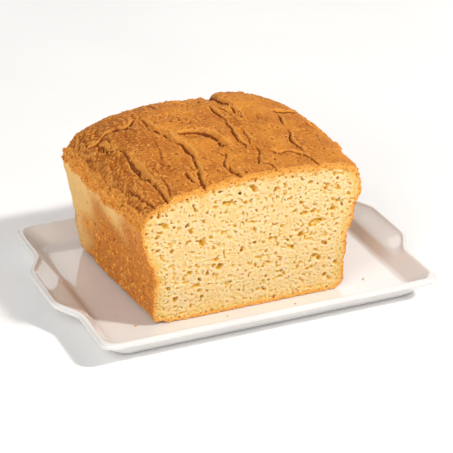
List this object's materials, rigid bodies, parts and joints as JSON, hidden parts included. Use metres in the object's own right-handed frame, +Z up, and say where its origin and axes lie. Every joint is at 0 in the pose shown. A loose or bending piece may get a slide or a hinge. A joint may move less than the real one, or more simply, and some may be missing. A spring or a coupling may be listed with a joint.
{
  "type": "half tin loaf on a serving tray",
  "caption": "Half of a tin loaf with a domed, cracked crust and an open cut face, resting in a shallow glazed serving tray with low handles.",
  "frame": {"origin": "on the table, under the middle of the tray", "axes": "+X along the tray's long side, from one handle to the other; the loaf's cut face looks along -Y; +Z up"},
  "size_m": [0.218, 0.152, 0.0914],
  "materials": {
    "porcelain": "gloss",
    "bread": "matte"
  },
  "bodies": {
    "root": {"serving_tray": "porcelain", "loaf": "bread"}
  },
  "joints": []
}
